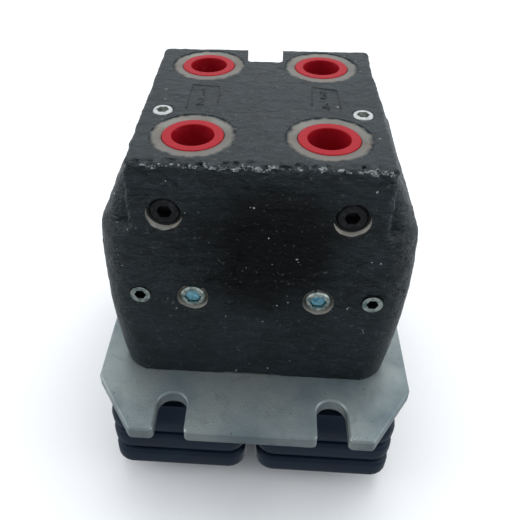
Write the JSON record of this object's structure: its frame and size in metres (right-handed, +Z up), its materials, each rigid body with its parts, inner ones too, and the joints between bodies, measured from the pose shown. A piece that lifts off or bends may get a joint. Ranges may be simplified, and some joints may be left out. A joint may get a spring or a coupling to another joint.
{
  "type": "foot pilot valve",
  "caption": "Foot-operated hydraulic pilot valve: capped port block, slotted aluminium flange, and tilting rockers under rubber boots that work spring-loaded spools.",
  "frame": {"origin": "on the surface it stands on, at the middle of its plan", "axes": "+Z up to the port face, +X to the right facing the plugged face, -Y out of the plugged face"},
  "size_m": [0.117, 0.1606, 0.144],
  "materials": {
    "painted_iron": "satin paint over a sand casting, machined bright at its bores",
    "cast_aluminium": "as cast, with machined edges",
    "boot_rubber": "moulded, matt",
    "red_plastic": "moulded polyethylene",
    "zinc_plated_steel": "bright zinc plate",
    "black_oxide_steel": "black oxide",
    "seal_rubber": "nitrile, smooth",
    "sealing_compound": "set compound",
    "hardened_steel": "ground",
    "spring_steel": "drawn wire",
    "bush_bronze": "plain bush",
    "rocker_iron": "as cast, phosphated",
    "plate_steel": "black paint"
  },
  "bodies": {
    "casing": {"valve_body": "painted_iron", "top_gallery_screws": "zinc_plated_steel", "gallery_plugs": "black_oxide_steel", "gallery_plug_seals": "seal_rubber", "sealed_plugs": "zinc_plated_steel", "sealing_compound": "sealing_compound", "small_gallery_screws": "zinc_plated_steel", "mounting_flange": "cast_aluminium", "flange_screws": "black_oxide_steel", "rod_guides": "hardened_steel", "guide_o_rings": "seal_rubber", "rod_seals": "seal_rubber", "shaft_lock_screws": "black_oxide_steel", "shaft_left": "hardened_steel", "boot_left": "boot_rubber", "port_cap_front_left": "red_plastic", "port_cap_rear_left": "red_plastic", "shaft_right": "hardened_steel", "boot_right": "boot_rubber", "port_cap_front_right": "red_plastic", "port_cap_rear_right": "red_plastic"},
    "rocker_left": {"rocker_left": "rocker_iron", "rocker_bushes_left": "bush_bronze", "adjusting_screws_left": "hardened_steel", "lock_nuts_left": "zinc_plated_steel", "pedal_plate_left": "plate_steel", "plate_screws_left": "zinc_plated_steel"},
    "rod_front_left": {"push_rod_front_left": "hardened_steel", "spring_seat_front_left": "hardened_steel", "return_spring_front_left": "spring_steel"},
    "spool_front_left": {"spool_front_left": "hardened_steel", "metering_spring_front_left": "spring_steel"},
    "rod_rear_left": {"push_rod_rear_left": "hardened_steel", "spring_seat_rear_left": "hardened_steel", "return_spring_rear_left": "spring_steel"},
    "spool_rear_left": {"spool_rear_left": "hardened_steel", "metering_spring_rear_left": "spring_steel"},
    "rocker_right": {"rocker_right": "rocker_iron", "rocker_bushes_right": "bush_bronze", "adjusting_screws_right": "hardened_steel", "lock_nuts_right": "zinc_plated_steel", "pedal_plate_right": "plate_steel", "plate_screws_right": "zinc_plated_steel"},
    "rod_front_right": {"push_rod_front_right": "hardened_steel", "spring_seat_front_right": "hardened_steel", "return_spring_front_right": "spring_steel"},
    "spool_front_right": {"spool_front_right": "hardened_steel", "metering_spring_front_right": "spring_steel"},
    "rod_rear_right": {"push_rod_rear_right": "hardened_steel", "spring_seat_rear_right": "hardened_steel", "return_spring_rear_right": "spring_steel"},
    "spool_rear_right": {"spool_rear_right": "hardened_steel", "metering_spring_rear_right": "spring_steel"}
  },
  "joints": [
    {"name": "rocker_tilt_left", "type": "hinge", "parent": "casing", "child": "rocker_left", "pos_m": [-0.0288, 0, 0.029], "axis": [1, 0, 0], "range_deg": [-12.4, 12.4], "stiffness_Nm_per_rad": 20, "deforming": ["boot_left"]},
    {"name": "rod_slide_front_left", "type": "slide", "parent": "casing", "child": "rod_front_left", "axis": [0, 0, 1], "range_m": [-0.00624, 0.00624], "stiffness_N_per_m": 2500, "deforming": ["return_spring_front_left"]},
    {"name": "spool_slide_front_left", "type": "slide", "parent": "casing", "child": "spool_front_left", "axis": [0, 0, 1], "range_m": [-0.0013, 0.0013], "stiffness_N_per_m": 4000, "deforming": ["metering_spring_front_left"]},
    {"name": "rod_slide_rear_left", "type": "slide", "parent": "casing", "child": "rod_rear_left", "axis": [0, 0, 1], "range_m": [-0.00624, 0.00624], "stiffness_N_per_m": 2500, "deforming": ["return_spring_rear_left"]},
    {"name": "spool_slide_rear_left", "type": "slide", "parent": "casing", "child": "spool_rear_left", "axis": [0, 0, 1], "range_m": [-0.0013, 0.0013], "stiffness_N_per_m": 4000, "deforming": ["metering_spring_rear_left"]},
    {"name": "rocker_tilt_right", "type": "hinge", "parent": "casing", "child": "rocker_right", "pos_m": [0.0288, 0, 0.029], "axis": [1, 0, 0], "range_deg": [-12.4, 12.4], "stiffness_Nm_per_rad": 20, "deforming": ["boot_right"]},
    {"name": "rod_slide_front_right", "type": "slide", "parent": "casing", "child": "rod_front_right", "axis": [0, 0, 1], "range_m": [-0.00624, 0.00624], "stiffness_N_per_m": 2500, "deforming": ["return_spring_front_right"]},
    {"name": "spool_slide_front_right", "type": "slide", "parent": "casing", "child": "spool_front_right", "axis": [0, 0, 1], "range_m": [-0.0013, 0.0013], "stiffness_N_per_m": 4000, "deforming": ["metering_spring_front_right"]},
    {"name": "rod_slide_rear_right", "type": "slide", "parent": "casing", "child": "rod_rear_right", "axis": [0, 0, 1], "range_m": [-0.00624, 0.00624], "stiffness_N_per_m": 2500, "deforming": ["return_spring_rear_right"]},
    {"name": "spool_slide_rear_right", "type": "slide", "parent": "casing", "child": "spool_rear_right", "axis": [0, 0, 1], "range_m": [-0.0013, 0.0013], "stiffness_N_per_m": 4000, "deforming": ["metering_spring_rear_right"]}
  ],
  "couplings": [
    {"joint": "rod_slide_front_left", "follows": "rocker_tilt_left", "m_per_rad": -0.0288},
    {"joint": "spool_slide_front_left", "follows": "rocker_tilt_left", "m_per_rad": -0.006},
    {"joint": "rod_slide_rear_left", "follows": "rocker_tilt_left", "m_per_rad": 0.0288},
    {"joint": "spool_slide_rear_left", "follows": "rocker_tilt_left", "m_per_rad": 0.006},
    {"joint": "rod_slide_front_right", "follows": "rocker_tilt_right", "m_per_rad": -0.0288},
    {"joint": "spool_slide_front_right", "follows": "rocker_tilt_right", "m_per_rad": -0.006},
    {"joint": "rod_slide_rear_right", "follows": "rocker_tilt_right", "m_per_rad": 0.0288},
    {"joint": "spool_slide_rear_right", "follows": "rocker_tilt_right", "m_per_rad": 0.006}
  ]
}
